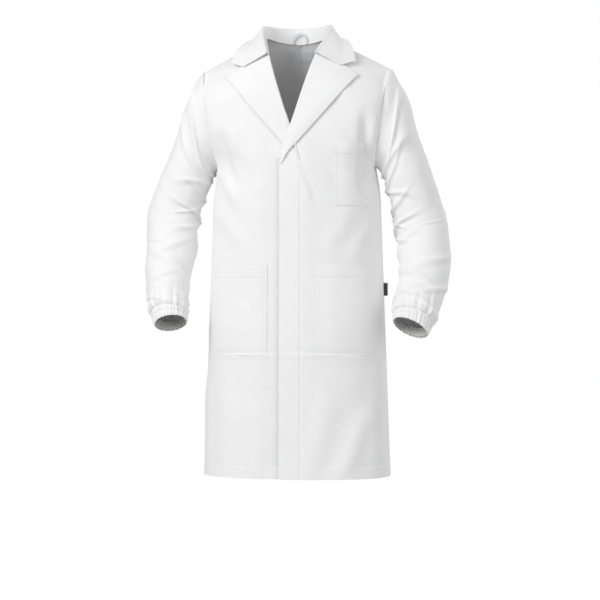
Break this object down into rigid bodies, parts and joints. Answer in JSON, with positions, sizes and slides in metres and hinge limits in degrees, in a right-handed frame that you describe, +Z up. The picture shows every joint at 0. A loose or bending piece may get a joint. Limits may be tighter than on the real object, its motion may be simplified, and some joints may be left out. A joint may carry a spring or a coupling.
{
  "type": "lab coat",
  "caption": "Long-sleeved white lab coat with notch lapels, a hidden button fly, patch pockets, gathered cuffs and a centre-back vent.",
  "frame": {"origin": "underside of the hanging loop inside the back of the neck, where a peg carries the coat", "axes": "+Z up along the coat's length, the front faces -Y, +X is the wearer's left"},
  "size_m": [0.7436, 0.2663, 1.0873],
  "materials": {
    "cloth": "fine white polyester and cotton twill",
    "interlining": "matt fused interlining",
    "tape": "woven cotton tape",
    "neck_label": "blank woven label",
    "side_label": "blank dark grey woven label",
    "button": "satin white polyester",
    "elastic": "woven elastic"
  },
  "bodies": {
    "coat": {"breast_pocket": "cloth", "breast_pocket_hem": "cloth", "button_1": "button", "collar_interlining": "interlining", "fly_strip_top": "cloth", "hang_loop": "tape", "left_front_chest": "cloth", "left_lapel": "cloth", "left_upper_back": "cloth", "neck_label": "neck_label", "right_front_chest": "cloth", "right_lapel": "cloth", "right_upper_back": "cloth", "side_label": "side_label", "under_collar": "cloth", "upper_collar": "cloth"},
    "left_front": {"fly_strip": "cloth", "left_front_hem": "cloth", "left_front_skirt": "cloth", "left_hip_pocket": "cloth", "left_hip_pocket_hem": "cloth"},
    "right_front": {"button_2": "button", "button_3": "button", "button_4": "button", "button_5": "button", "right_front_facing": "cloth", "right_front_hem": "cloth", "right_front_skirt": "cloth", "right_hip_pocket": "cloth", "right_hip_pocket_hem": "cloth"},
    "left_vent": {"left_back_hem": "cloth", "left_vent_panel": "cloth"},
    "right_vent": {"right_back_hem": "cloth", "right_vent_panel": "cloth"},
    "left_upper_sleeve": {"left_elbow_outer": "cloth", "left_elbow_under": "cloth", "left_upper_sleeve_outer": "cloth", "left_upper_sleeve_under": "cloth"},
    "left_forearm": {"left_cuff": "cloth", "left_cuff_elastic": "elastic", "left_lower_sleeve_outer": "cloth", "left_lower_sleeve_under": "cloth"},
    "right_upper_sleeve": {"right_elbow_outer": "cloth", "right_elbow_under": "cloth", "right_upper_sleeve_outer": "cloth", "right_upper_sleeve_under": "cloth"},
    "right_forearm": {"right_cuff": "cloth", "right_cuff_elastic": "elastic", "right_lower_sleeve_outer": "cloth", "right_lower_sleeve_under": "cloth"}
  },
  "joints": [
    {"name": "left_front_swing", "type": "hinge", "parent": "coat", "child": "left_front", "pos_m": [0.203, -0.05222, -0.4198], "axis": [-0.0354, 0, 0.9994], "range_deg": [0, 30]},
    {"name": "right_front_swing", "type": "hinge", "parent": "coat", "child": "right_front", "pos_m": [-0.203, -0.05222, -0.4198], "axis": [0.0354, 0, 0.9994], "range_deg": [-30, 0]},
    {"name": "left_vent_swing", "type": "hinge", "parent": "coat", "child": "left_vent", "pos_m": [0.203, -0.05222, -0.4198], "axis": [0.0354, 0, -0.9994], "range_deg": [0, 18]},
    {"name": "right_vent_swing", "type": "hinge", "parent": "coat", "child": "right_vent", "pos_m": [-0.203, -0.05222, -0.4198], "axis": [-0.0354, 0, -0.9994], "range_deg": [-18, 0]},
    {"name": "left_sleeve_swing", "type": "hinge", "parent": "coat", "child": "left_upper_sleeve", "pos_m": [0.209, -0.04822, -0.2123], "axis": [-0.9872, 0, 0.1596], "range_deg": [-30, 80]},
    {"name": "right_sleeve_swing", "type": "hinge", "parent": "coat", "child": "right_upper_sleeve", "pos_m": [-0.209, -0.04822, -0.2123], "axis": [-0.9872, 0, -0.1596], "range_deg": [-30, 80]},
    {"name": "left_elbow_bend", "type": "hinge", "parent": "left_upper_sleeve", "child": "left_forearm", "pos_m": [0.299, -0.03822, -0.4703], "axis": [-0.9962, 0, -0.087], "range_deg": [-25, 60], "deforming": ["left_elbow_outer", "left_elbow_under"]},
    {"name": "right_elbow_bend", "type": "hinge", "parent": "right_upper_sleeve", "child": "right_forearm", "pos_m": [-0.307, -0.03822, -0.4408], "axis": [-0.9899, 0, 0.1414], "range_deg": [-25, 60], "deforming": ["right_elbow_outer", "right_elbow_under"]}
  ],
  "couplings": [
    {"joint": "right_front_swing", "follows": "left_front_swing", "ratio": -1},
    {"joint": "right_vent_swing", "follows": "left_vent_swing", "ratio": -1}
  ]
}
